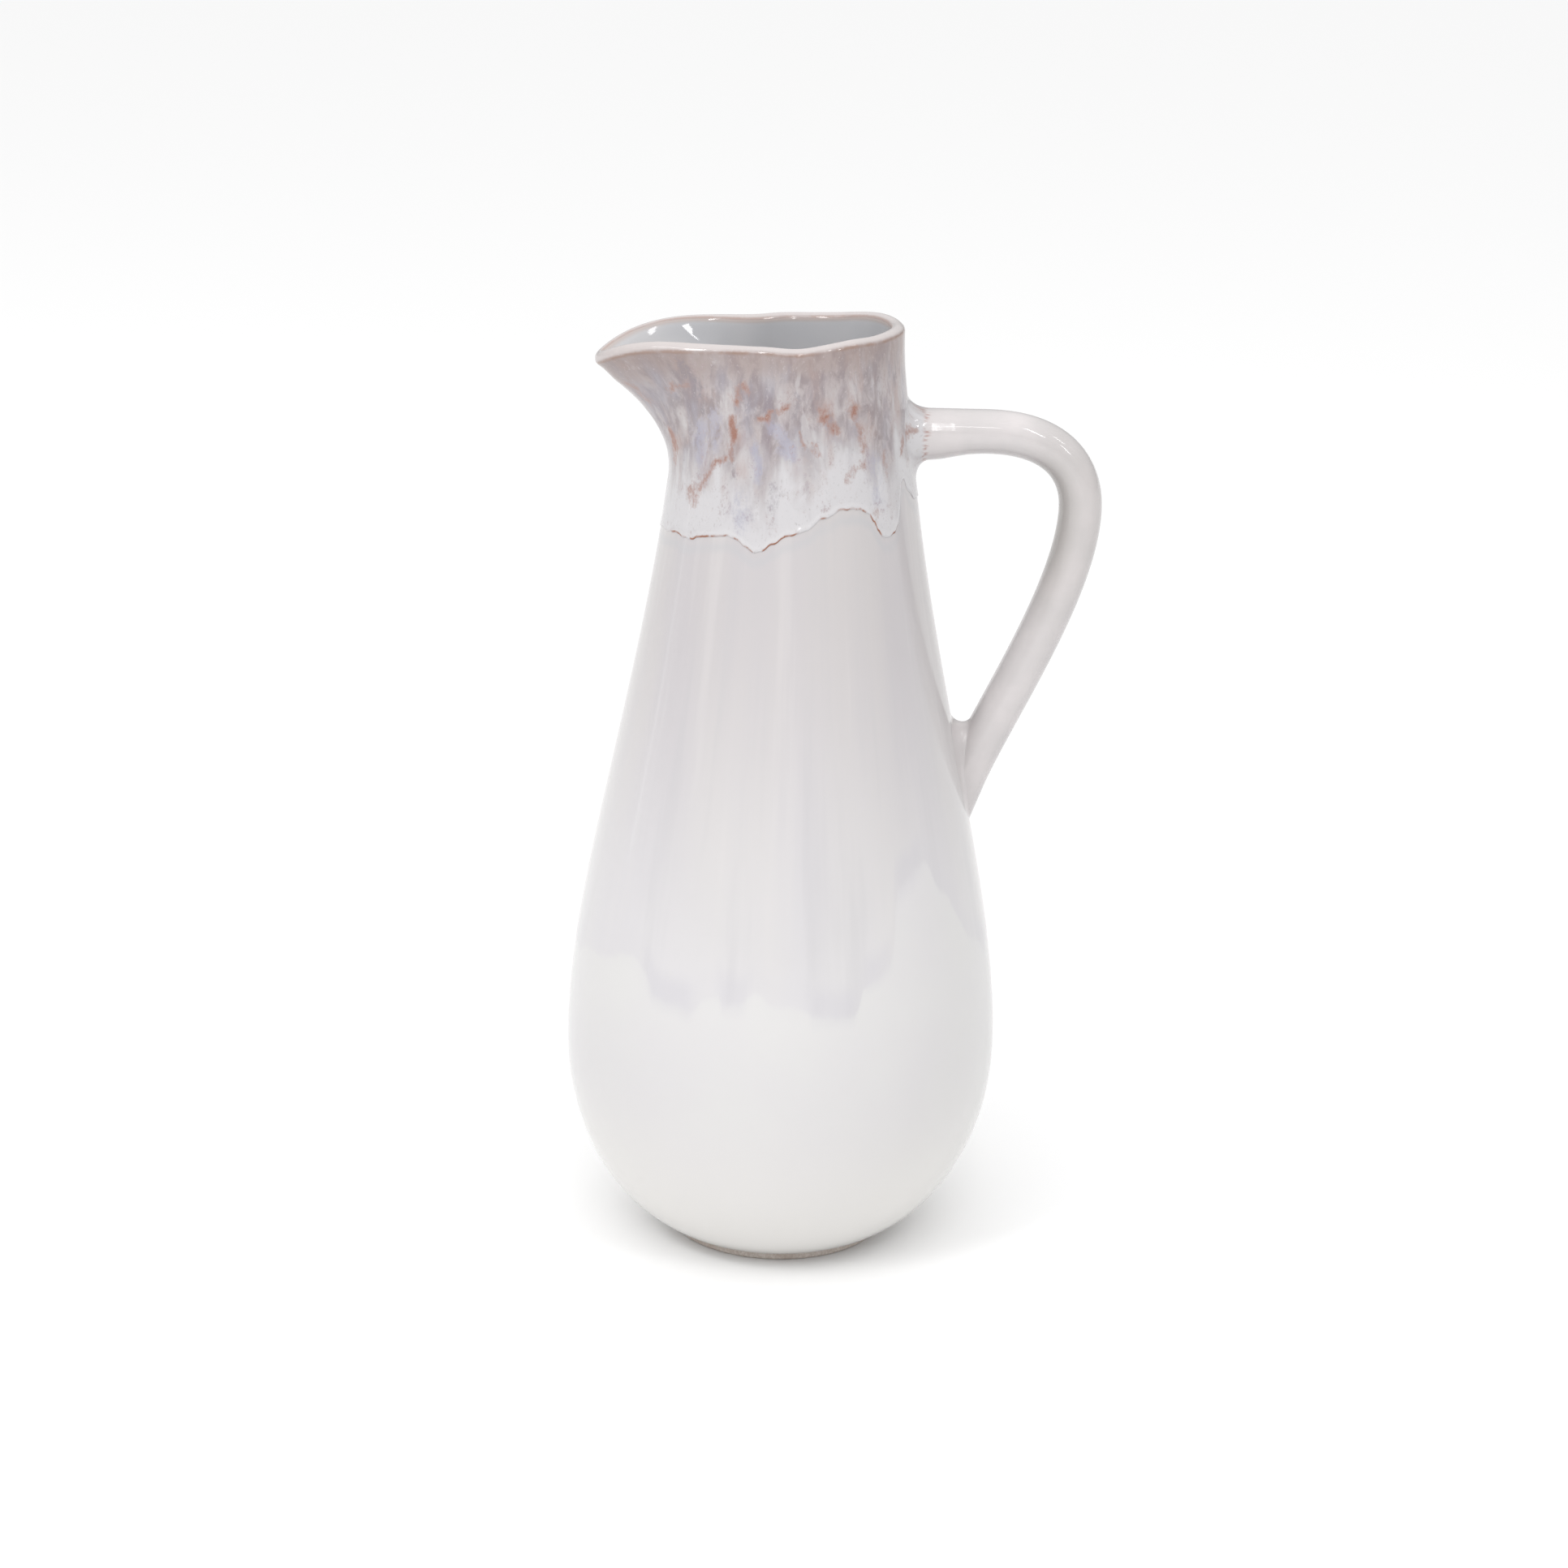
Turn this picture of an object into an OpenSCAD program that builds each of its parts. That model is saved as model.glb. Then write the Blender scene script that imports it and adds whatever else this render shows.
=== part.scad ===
// Glazed stoneware pitcher: a thrown body with a pulled spout, a foot ring, and a
// pulled strap handle luted on at two joins. The neck carries a second coat of glaze.
// Frame: origin at the centre of the face it stands on, +Z up, handle towards +X,
// spout towards -X. Millimetres.

/* [Body] */
// Height over all, up to the rim above the handle
pitcher_h = 300; // [280:2:360]
// Outer radius of the belly where it is widest
belly_r = 70; // [60:1:84]
// Height of the widest part of the belly
belly_h = 66; // [55:1:80]
// Outer radius of the neck where the collar starts
neck_r = 38.7; // [34:0.1:46]
// Height of the collar, from the neck to the top of the rim
collar_h = 48; // [40:1:58]
// Outer radius of the mouth beside the spout
mouth_r = 33.8; // [29:0.1:40]
// Wall thickness of the body
wall_t = 5; // [4:0.1:6]
// Wall thickness at the lip
lip_t = 4.4; // [3.6:0.1:5.2]
// Thickness of the floor
floor_t = 6; // [5:0.1:8]

/* [Spout and rim] */
// How far the lip is pulled out at the spout's tip
spout_reach = 28; // [22:0.1:34]
// Angle on each side of the tip over which the lip is pulled
spout_spread = 72; // [60:1:85]
// Angle that sets how blunt the tip is in plan
spout_blunt = 9; // [6:0.5:14]
// How far the tip dips below the rim beside it
spout_dip = 9.7; // [5:0.1:12]
// How far the rim sweeps up towards the handle
rim_rise = 3.6; // [2:0.1:6]

/* [Foot] */
// Outer radius of the foot ring
foot_r = 35; // [30:0.5:42]
// Height of the foot ring
foot_h = 2.5; // [2:0.1:5]
// Width of the face that the foot ring stands on
foot_w = 7; // [5:0.5:10]
// Step from the foot ring out to where the wall starts
foot_step = 1.5; // [1:0.1:3]
// Slope of the wall where it leaves the foot, from level
foot_slope = 25; // [20:1:35]

/* [Handle] */
// Width of the handle's section, across the pitcher
handle_w = 17; // [14:0.5:21]
// Thickness of the handle's section
handle_t = 13.5; // [11:0.5:16]
// How far the handle's middle line stands out from the neck
handle_out = 51.5; // [44:0.5:61]
// Drop from the top of the rim to the handle's upper arm
handle_drop = 33.3; // [30:0.1:38]
// Height at which the handle's middle line meets the wall below
handle_foot_h = 154; // [140:1:170]
// Run of the bend at the handle's shoulder
bend_run = 30; // [24:1:34]
// Drop of the bend at the handle's shoulder
bend_drop = 23.7; // [20:0.1:28]

/* [Handle joins] */
// How far the upper join stands off the wall
upper_join_l = 6; // [5:0.5:9]
// How far the upper join flares out where it meets the wall
upper_flare = 5; // [3:0.5:7]
// Length of the lower join, from its crotch down to where its middle meets the wall
lower_join_l = 25; // [22:1:30]
// How far the lower join flares out where it meets the wall
lower_flare = 3.5; // [2:0.5:5]

/* [Neck glaze] */
// Thickness of the neck's second coat of glaze
glaze_t = 0.4; // [0.3:0.1:0.6]
// Height of the coat's hem, below the top of the rim
hem_drop = 53; // [46:1:60]

/* [Hidden] */

// Steps round the body and along each stretch of its outline
SIDES = 48;
LOW_STEPS = 9;
SHOULDER_STEPS = 16;
COLLAR_STEPS = 12;
LIP_STEPS = 4;
// Steps round the handle's section and along its stretches
GRIP_SIDES = 20;
BEND_STEPS = 10;
ARM_STEPS = 16;
JOIN_STEPS = 6;

// Heights and radii that follow from the sizes above
neck_h = pitcher_h - collar_h;
lip_r = lip_t / 2;
top_h = pitcher_h - lip_r;
base_r = foot_r + foot_step;
floor_h = foot_h + floor_t;
// The spout starts to swell a little below the neck
spout_h = neck_h - 2;

// How fast the pull falls off round the tip, and how hollow the spout is below it
spout_point = 1.6;
spout_hollow = 2.07;
// How square the handle's oval is: 1 is a true oval, less is squarer
strap_square = 0.86;

// Shape of the outline: lean of the neck, and how far each curve's controls reach
neck_lean = 0.135;
base_run = 18.5;
shoulder_run = (neck_h - belly_h) * 0.26;
neck_run = (neck_h - belly_h) * 0.42;
collar_run = collar_h * 0.42;
mouth_run = collar_h * 0.3;

// The outline in three smooth stretches, each with its two end points and two controls
low_curve = [
    [base_r, foot_h],
    [base_r + base_run * cos(foot_slope), foot_h + base_run * sin(foot_slope)],
    [belly_r, belly_h / 2],
    [belly_r, belly_h]
];
shoulder_curve = [
    [belly_r, belly_h],
    [belly_r, belly_h + shoulder_run],
    [neck_r + neck_lean * neck_run, neck_h - neck_run],
    [neck_r, neck_h]
];
collar_curve = [
    [neck_r, neck_h],
    [neck_r - neck_lean * collar_run, neck_h + collar_run],
    [mouth_r, top_h - mouth_run],
    [mouth_r, top_h]
];

function bezier(p, t) =
    pow(1 - t, 3) * p[0] + 3 * pow(1 - t, 2) * t * p[1] + 3 * (1 - t) * t * t * p[2] + pow(t, 3) * p[3];

outline = concat(
    [for (i = [0 : LOW_STEPS - 1]) bezier(low_curve, i / LOW_STEPS)],
    [for (i = [0 : SHOULDER_STEPS - 1]) bezier(shoulder_curve, i / SHOULDER_STEPS)],
    [for (i = [0 : COLLAR_STEPS]) bezier(collar_curve, i / COLLAR_STEPS)]
);
radius_table = [for (p = outline) [p[1], p[0]]];
COLLAR_START = LOW_STEPS + SHOULDER_STEPS;
LAST = len(outline) - 1;

// Outer radius of the wall at a height, before the spout is pulled
function wall_r(h) = lookup(h, radius_table);

// Share of the full pull at an angle away from the spout's middle: 1 at the tip, 0 past the spread
function pull(away) =
    away >= spout_spread ? 0 :
    let (full = norm([spout_spread, spout_blunt]) - spout_blunt)
    pow(1 - (norm([away, spout_blunt]) - spout_blunt) / full, spout_point);

// Share of the full pull at a height: it starts at the neck and grows towards the lip
function swell(h) = h <= spout_h ? 0 : pow((h - spout_h) / (top_h - spout_h), spout_hollow);

// Height of the lip at an angle away from the spout's middle
function rim_level(away) =
    pitcher_h - rim_rise * (1 - pow((1 - cos(away)) / 2, 2)) - spout_dip * pow(pull(away), 3);

// A point of the outer wall at an angle and at a height as it would be on a level rim
function wall_point(angle, h) =
    let (away = abs(180 - angle))
    let (r = wall_r(h) + spout_reach * swell(h) * pull(away))
    let (squeeze = (rim_level(away) - lip_r - spout_h) / (top_h - spout_h))
    let (z = h <= spout_h ? h : spout_h + (h - spout_h) * squeeze)
    [r * cos(angle), r * sin(angle), z];

// Direction square to the outer wall, pointing out
function outward(angle, h) =
    let (round_it = wall_point(angle + 1, h) - wall_point(angle - 1, h))
    let (up_it = wall_point(angle, h + 0.4) - wall_point(angle, h - 0.4))
    let (square = cross(round_it, up_it))
    square / norm(square);

// A point that stands off the outer wall by a distance, inwards when it is negative
function skin_point(angle, h, off) = wall_point(angle, h) + off * outward(angle, h);

// Wall thickness at a height: full up to the neck, thinner at the lip
function wall_at(h) = h <= neck_h ? wall_t : wall_t - (wall_t - lip_t) * (h - neck_h) / (top_h - neck_h);

function angle_of(j) = 360 * j / SIDES;
function outer_ring(i) = [for (j = [0 : SIDES - 1]) wall_point(angle_of(j), outline[i][1])];
function inner_ring(i) =
    let (h = outline[i][1])
    [for (j = [0 : SIDES - 1]) skin_point(angle_of(j), h, -wall_at(h))];
function lip_ring(turn) = [
    for (j = [0 : SIDES - 1])
        skin_point(angle_of(j), top_h, -lip_r * (1 - cos(turn))) + [0, 0, lip_r * sin(turn)]
];
function level_ring(r, z) = [for (j = [0 : SIDES - 1]) [r * cos(angle_of(j)), r * sin(angle_of(j)), z]];

// Closed solid through a row of rings with equal counts, capped flat at both ends
module loft(rings) {
    n = len(rings[0]);
    last = len(rings) - 1;
    sides = [
        for (i = [0 : last - 1])
            for (j = [0 : n - 1])
                let (k = (j + 1) % n)
                each [
                    [i * n + j, (i + 1) * n + j, (i + 1) * n + k],
                    [i * n + j, (i + 1) * n + k, i * n + k]
                ]
    ];
    first_cap = [for (j = [0 : n - 1]) j];
    last_cap = [for (j = [n - 1 : -1 : 0]) last * n + j];
    polyhedron(points = [for (r = rings) each r], faces = concat(sides, [first_cap, last_cap]));
}

// Closed band with an outer side, rings from the bottom up, and an inner side, rings from the
// top down. The inner side's triangles are cut the way that loft cuts those of the wall it lies on.
module band(outer, inner) {
    rings = concat(outer, inner);
    n = len(rings[0]);
    m = len(rings);
    faces = [
        for (i = [0 : m - 1])
            for (j = [0 : n - 1])
                let (k = (j + 1) % n)
                let (next = (i + 1) % m)
                each i < len(outer) ?
                    [
                        [i * n + j, next * n + j, next * n + k],
                        [i * n + j, next * n + k, i * n + k]
                    ] :
                    [
                        [i * n + j, next * n + j, i * n + k],
                        [next * n + j, next * n + k, i * n + k]
                    ]
    ];
    polyhedron(points = [for (r = rings) each r], faces = faces);
}

// The solid inside the outer wall between two rings of the outline
module wall_core(first, last) {
    loft([for (i = [first : last]) outer_ring(i)]);
}

// The handle's middle line: level off the wall, round the shoulder, and down to the wall again
arm_x = neck_r + handle_out;
arm_z = pitcher_h - handle_drop;
bend_z = arm_z - bend_drop;
fall = bend_z - handle_foot_h;
upper_wall_r = wall_r(arm_z);
tail_x = wall_r(handle_foot_h);
// How far the controls of the two curves reach, and the lean of the tail where it lands
bend_in = bend_run * 0.8;
bend_out = bend_drop * 0.52;
arm_run = fall * 0.3;
tail_run = fall * 0.25;
tail_lean = 0.33;
bend_curve = [
    [arm_x - bend_run, arm_z],
    [arm_x - bend_run + bend_in, arm_z],
    [arm_x, bend_z + bend_out],
    [arm_x, bend_z]
];
arm_curve = [
    [arm_x, bend_z],
    [arm_x, bend_z - arm_run],
    [tail_x + tail_lean * tail_run, handle_foot_h + tail_run],
    [tail_x, handle_foot_h]
];

// Direction of a stretch of the middle line, as a unit vector
function heading(p, t) =
    let (d = bezier(p, min(t + 0.01, 1)) - bezier(p, max(t - 0.01, 0)))
    d / norm(d);

// The handle's section: a flattened oval round a point of the middle line, grown by a flare.
// A held back stands still while the rest flares, so the handle's outer edge runs on straight.
function oval(centre, along, flare, held_back = false) = [
    for (j = [0 : GRIP_SIDES - 1])
        let (turn = 360 * j / GRIP_SIDES)
        let (across = (handle_w / 2 + flare) * flat(cos(turn)))
        let (through = (handle_t / 2 + flare) * flat(sin(turn)) - (held_back ? flare : 0))
        [centre[0] - along[1] * through, across, centre[1] + along[0] * through]
];

// Squares an oval off a little, as a pulled strap is
function flat(v) = sign(v) * pow(abs(v), strap_square);

// Share of the arm curve at which the handle ends and the lower join starts
join_share = 1 - lower_join_l / norm([arm_x - tail_x, fall]);

// Concave flare of a join: nothing at its start, full at the wall
function sweep_out(t) = 1 - sqrt(1 - t * t);

// Clay that joins the handle's arm to the neck, reaching into the wall until it is cut
module upper_join_blank() {
    inside_x = upper_wall_r - wall_t / 2;
    loft(concat(
        [oval([inside_x, arm_z], [1, 0], upper_flare)],
        [
            for (i = [JOIN_STEPS : -1 : 0])
                let (t = i / JOIN_STEPS)
                let (x = upper_wall_r + upper_join_l * (1 - t))
                oval([x, arm_z], [1, 0], upper_flare * sweep_out(t))
        ]
    ));
}

// Clay that joins the handle's tail to the shoulder, reaching into the wall until it is cut
module lower_join_blank() {
    down = heading(arm_curve, 1);
    loft(concat(
        [
            for (i = [0 : JOIN_STEPS])
                let (t = i / JOIN_STEPS)
                let (at = join_share + (1 - join_share) * t)
                oval(bezier(arm_curve, at), heading(arm_curve, at), lower_flare * sweep_out(t * 0.9), true)
        ],
        [oval(bezier(arm_curve, 1) + down * lower_join_l, down, lower_flare / 2, true)]
    ));
}

// Thrown wall with its floor, hollow inside and open at the mouth
module body() {
    color("gainsboro")
        loft(concat(
            [for (i = [0 : LAST]) outer_ring(i)],
            [for (s = [1 : LIP_STEPS]) lip_ring(180 * s / LIP_STEPS)],
            [for (i = [LAST - 1 : -1 : 1]) inner_ring(i)],
            [level_ring(base_r - wall_t, floor_h)]
        ));
}

// Bare clay ring that the pitcher stands on
module foot_ring() {
    edge = 0.8;
    inner_r = foot_r - edge - foot_w;
    color("rosybrown")
        rotate_extrude($fn = 96)
            polygon([
                [inner_r, 0],
                [inner_r + foot_w, 0],
                [foot_r, edge],
                [foot_r, foot_h],
                [inner_r, foot_h]
            ]);
}

// Pulled strap between the two joins
module handle() {
    color("gainsboro")
        loft(concat(
            [oval([upper_wall_r + upper_join_l, arm_z], [1, 0], 0)],
            [
                for (i = [0 : BEND_STEPS])
                    let (at = i / BEND_STEPS)
                    oval(bezier(bend_curve, at), heading(bend_curve, at), 0)
            ],
            [
                for (i = [1 : ARM_STEPS])
                    let (at = join_share * i / ARM_STEPS)
                    oval(bezier(arm_curve, at), heading(arm_curve, at), 0)
            ]
        ));
}

module upper_handle_join() {
    color("thistle")
        difference() {
            upper_join_blank();
            wall_core(COLLAR_START - 3, LAST);
        }
}

module lower_handle_join() {
    color("thistle")
        difference() {
            lower_join_blank();
            wall_core(LOW_STEPS, COLLAR_START);
        }
}

// Runs of the hem: angle round the body, how far it hangs below the hem, and half its width
RUNS = [
    [178, 9, 40], [222, 6, 18], [253, 9, 14], [314, 7, 12], [352, 5, 16],
    [28, 11, 15], [66, 7, 13], [104, 12, 16], [140, 6, 14]
];

function turn_between(a, b) = abs((a - b + 540) % 360 - 180);
function run_depth(angle) = max([
    for (r = RUNS)
        let (t = turn_between(angle, r[0]) / r[2])
        t >= 1 ? 0 : r[1] * (1 + cos(180 * t)) / 2
]);
function hem_h(angle) = pitcher_h - hem_drop - run_depth(angle);

// Rows of the coat follow the wall's own rings above the hem, so the two lie face to face
HEM_ROWS = 3;
COAT_START = COLLAR_START + 1;
coat_start_h = outline[COAT_START][1];
function coat_h(angle, row) =
    row < HEM_ROWS ?
        hem_h(angle) + (coat_start_h - hem_h(angle)) * row / HEM_ROWS :
        outline[COAT_START + row - HEM_ROWS][1];
COAT_LAST = HEM_ROWS + LAST - COAT_START;

// Second coat of glaze over the neck, from its ragged hem up to the lip
module neck_glaze() {
    inner = [
        for (row = [COAT_LAST : -1 : 0])
            [for (j = [0 : SIDES - 1]) wall_point(angle_of(j), coat_h(angle_of(j), row))]
    ];
    outer = [
        for (row = [0 : COAT_LAST])
            [for (j = [0 : SIDES - 1]) skin_point(angle_of(j), coat_h(angle_of(j), row), glaze_t)]
    ];
    color("rosybrown")
        difference() {
            band(outer, inner);
            upper_join_blank();
        }
}

body();
foot_ring();
handle();
upper_handle_join();
lower_handle_join();
neck_glaze();
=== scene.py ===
"""Glazed stoneware pitcher: a thrown body with a pulled spout, a strap handle luted on at two
joins, a bare foot ring, and a second coat of glaze that has run down the neck.
Shapes are worked out in millimetres in the part's own frame, and meshes are set in metres."""

import math
import random

import bmesh
import bpy
import numpy as np
from mathutils import Matrix, Vector, noise


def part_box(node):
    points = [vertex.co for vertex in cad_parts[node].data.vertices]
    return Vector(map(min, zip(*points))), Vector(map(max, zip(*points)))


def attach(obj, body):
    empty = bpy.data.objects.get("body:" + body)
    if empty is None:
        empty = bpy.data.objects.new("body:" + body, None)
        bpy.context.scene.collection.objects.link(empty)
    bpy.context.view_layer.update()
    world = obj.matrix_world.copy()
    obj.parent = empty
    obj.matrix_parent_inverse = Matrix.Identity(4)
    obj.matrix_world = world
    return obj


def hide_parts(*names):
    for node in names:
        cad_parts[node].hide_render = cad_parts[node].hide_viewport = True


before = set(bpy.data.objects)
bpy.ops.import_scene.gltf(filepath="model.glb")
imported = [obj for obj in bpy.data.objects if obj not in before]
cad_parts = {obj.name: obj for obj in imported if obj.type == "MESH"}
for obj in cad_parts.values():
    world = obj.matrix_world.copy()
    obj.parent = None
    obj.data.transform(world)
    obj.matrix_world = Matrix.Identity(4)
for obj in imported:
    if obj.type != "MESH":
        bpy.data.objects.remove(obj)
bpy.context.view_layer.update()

MM = 0.001


def far_corner(name):
    """Highest corner of a part's node, in millimetres."""
    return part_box(name)[1] / MM


# ---------------------------------------------------------------- sizes

body_high = far_corner("body")
foot_high = far_corner("foot_ring")
handle_high = far_corner("handle")

RIM_H = body_high.z
BELLY_R = body_high.y
BELLY_H = 66.0
NECK_R = 38.7
NECK_H = RIM_H - 48.0
MOUTH_R = 33.8
WALL_T = 5.0
LIP_T = 4.4
LIP_R = LIP_T / 2
TOP_H = RIM_H - LIP_R
FOOT_H = foot_high.z
FOOT_R = foot_high.y
FOOT_W = 7.0
BASE_R = FOOT_R + 1.5
FLOOR_H = FOOT_H + 6.0

SPOUT_REACH = 28.0
SPOUT_SPREAD = 72.0
SPOUT_BLUNT = 9.0
SPOUT_POINT = 1.6
SPOUT_HOLLOW = 2.07
SPOUT_DIP = 9.7
SPOUT_H = NECK_H - 2.0
RIM_RISE = 3.6

LAP_X = 50.0
STRAP_W = 17.0
STRAP_T = 13.5
STRAP_SQUARE = 0.86
ARM_X = handle_high.x - STRAP_T / 2
ARM_Z = handle_high.z - STRAP_T / 2
BEND_RUN = 30.0
BEND_DROP = 23.7
BEND_Z = ARM_Z - BEND_DROP
TAIL_Z = 154.0
FALL = BEND_Z - TAIL_Z
UPPER_JOIN_L = 6.0
LOWER_JOIN_L = 25.0

# Columns round the pieces, and rows along each stretch of the body's outline
BODY_SIDES = 256
COAT_SIDES = 480
STRAP_SIDES = 48
LOW_ROWS = 18
SHOULDER_ROWS = 58
COLLAR_ROWS = 30
LIP_ROWS = 12

# ---------------------------------------------------------------- the thrown shape


def bezier(points, share):
    """Points along a curve with two ends and two controls."""
    a, b, c, d = (np.array(p, float) for p in points)
    t = np.asarray(share, float)[..., None]
    return (1 - t) ** 3 * a + 3 * (1 - t) ** 2 * t * b + 3 * (1 - t) * t * t * c + t**3 * d


base_slope = math.radians(25)
base_run = 18.5
shoulder_run = (NECK_H - BELLY_H) * 0.26
neck_run = (NECK_H - BELLY_H) * 0.42
collar_run = (RIM_H - NECK_H) * 0.42
mouth_run = (RIM_H - NECK_H) * 0.3
neck_lean = 0.135

LOW_CURVE = [
    (BASE_R, FOOT_H),
    (BASE_R + base_run * math.cos(base_slope), FOOT_H + base_run * math.sin(base_slope)),
    (BELLY_R, BELLY_H / 2),
    (BELLY_R, BELLY_H),
]
SHOULDER_CURVE = [
    (BELLY_R, BELLY_H),
    (BELLY_R, BELLY_H + shoulder_run),
    (NECK_R + neck_lean * neck_run, NECK_H - neck_run),
    (NECK_R, NECK_H),
]
COLLAR_CURVE = [
    (NECK_R, NECK_H),
    (NECK_R - neck_lean * collar_run, NECK_H + collar_run),
    (MOUTH_R, TOP_H - mouth_run),
    (MOUTH_R, TOP_H),
]

fine = np.linspace(0, 1, 400)
profile = np.concatenate([bezier(c, fine) for c in (LOW_CURVE, SHOULDER_CURVE, COLLAR_CURVE)])


def wall_r(h):
    """Outer radius of the wall at a height, before the spout is pulled."""
    return np.interp(h, profile[:, 1], profile[:, 0])


def smooth(v, start=0.0, end=1.0):
    """Rises gently from 0 at start to 1 at end."""
    t = np.clip((np.asarray(v, float) - start) / (end - start), 0, 1)
    return t * t * (3 - 2 * t)


def apart(a, b):
    """Angle between two directions, in degrees."""
    return np.abs((np.asarray(a, float) - b + 540) % 360 - 180)


def swelling(angle, middle, half_width):
    """A soft lump round one direction: 1 in its middle, 0 past its half width."""
    return smooth(1 - apart(angle, middle) / half_width)


# The lip's round carries the tip out by this much of the reach, and lies this much lower
TIP_ROUND = 0.9
TIP_LIFT = 0.7


def pull(away):
    """Share of the spout's pull at an angle away from its middle."""
    full = math.hypot(SPOUT_SPREAD, SPOUT_BLUNT) - SPOUT_BLUNT
    reached = (np.hypot(np.minimum(away, SPOUT_SPREAD), SPOUT_BLUNT) - SPOUT_BLUNT) / full
    return np.clip(1 - reached, 0, 1) ** SPOUT_POINT


# Soft dips and lifts of a hand-finished rim: direction, half width, height
RIM_WAVES = [(272, 20, -0.7), (303, 18, 0.4), (222, 20, -0.25), (36, 34, 0.7), (100, 24, 0.35)]


def rim_level(angle):
    """Height of the lip's crest in a direction."""
    away = apart(angle, 180)
    back = (1 - np.cos(np.radians(away))) / 2
    level = RIM_H - RIM_RISE * (1 - back**2) - (SPOUT_DIP - TIP_LIFT) * pull(away) ** 3
    for middle, half_width, lift in RIM_WAVES:
        level = level + lift * swelling(angle, middle, half_width)
    return level


def wall_place(angle, h):
    """A point of the outer wall: direction in degrees, height as on a level rim."""
    angle, h = np.broadcast_arrays(np.asarray(angle, float), np.asarray(h, float))
    swell = (np.clip(h - SPOUT_H, 0, None) / (TOP_H - SPOUT_H)) ** SPOUT_HOLLOW
    r = wall_r(h) + (SPOUT_REACH - TIP_ROUND) * swell * pull(apart(angle, 180))
    squeeze = (rim_level(angle) - LIP_R - SPOUT_H) / (TOP_H - SPOUT_H)
    z = np.where(h <= SPOUT_H, h, SPOUT_H + (h - SPOUT_H) * squeeze)
    turn = np.radians(angle)
    return np.stack([r * np.cos(turn), r * np.sin(turn), z], -1)


def outward(angle, h):
    """Direction square to the outer wall."""
    round_it = wall_place(np.add(angle, 1.0), h) - wall_place(np.subtract(angle, 1.0), h)
    up_it = wall_place(angle, np.add(h, 0.4)) - wall_place(angle, np.subtract(h, 0.4))
    square = np.cross(round_it, up_it)
    return square / np.linalg.norm(square, axis=-1, keepdims=True)


def uneven(places, size, seed):
    """Slow random rise and fall over a surface, about -1 to 1, one value for each place."""
    shift = Vector((seed, seed * 0.7, seed * 1.3))
    return np.array([noise.noise(Vector(p) / size + shift) for p in places])


def lookup(angle, table):
    """A height read off a list of (direction, height), smoothly and all the way round."""
    at = np.asarray(angle, float) % 360
    turns = np.array([row[0] for row in table], float)
    heights = np.array([row[1] for row in table], float)
    turns = np.concatenate([turns[-1:] - 360, turns, turns[:1] + 360])
    heights = np.concatenate([heights[-1:], heights, heights[:1]])
    i = np.clip(np.searchsorted(turns, at, "right") - 1, 0, len(turns) - 2)
    share = smooth((at - turns[i]) / (turns[i + 1] - turns[i]))
    return heights[i] + (heights[i + 1] - heights[i]) * share


# Lower edge of the second dip of white glaze, with the ends of its runs: direction, height
DIP_EDGE = [
    (8, 104), (20, 100), (27, 112), (40, 116), (52, 101), (66, 98), (74, 108), (90, 104),
    (101, 92), (113, 95), (120, 106), (138, 110), (150, 98), (164, 96), (178, 99), (193, 99),
    (207, 103), (225, 107), (230, 104), (234, 97), (246, 95), (250, 101), (253, 102),
    (255, 98), (259, 98), (263, 103), (270, 99), (276, 99), (279, 96), (290, 95),
    (293, 104), (296, 105), (301, 109), (305, 131), (310, 135), (317, 139), (322, 128),
    (337, 108), (347, 102),
]
# Where the ends of those runs pooled thick enough to show: direction, strength
DIP_POOL = [
    (10, 0.1), (40, 0.5), (56, 0.1), (90, 0.4), (104, 0.1), (138, 0.5), (154, 0.1), (186, 0.2),
    (198, 0.05), (228, 0.1), (233, 0.5), (243, 0.55), (249, 0.1), (252, 0.1), (255, 0.45),
    (259, 0.4), (263, 0.1), (275, 0.1), (280, 0.45), (288, 0.5), (292, 0.1), (295, 0.45),
    (299, 0.35), (303, 0.1), (307, 0.5), (313, 0.45), (317, 0.1), (335, 0.1), (348, 0.4),
]
DIP_T = 0.08
# The glazes' faces average out at the thrown size, and the spout is fuller below its tip
SKIN_IN = 0.35
SPOUT_FULL = 0.9

# The neck's coat ends in this ragged hem: direction, height
HEM = [
    (2, 246), (14, 245), (28, 235), (40, 241), (54, 244), (66, 239), (76, 240), (88, 246),
    (104, 236), (116, 241), (129, 245), (142, 240), (155, 243), (167, 237), (180, 235),
    (196, 236), (209, 236.9), (216, 236.3), (221, 236.6), (226, 237.9), (232, 238.6),
    (242, 239.6), (246, 238.9), (250, 237.1), (254, 235.6), (257, 235.9), (262, 238.2),
    (268, 240.6), (275, 242.6), (284, 246), (293, 248.3), (302, 248.2), (306, 247),
    (309.5, 243.7), (311.5, 241.2), (314, 239.6), (318, 238.8), (321.5, 239.3),
    (324.5, 241.4), (326.5, 244.6), (328, 249), (330, 253.5), (333, 254.5), (338, 250), (346, 247),
]
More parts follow.
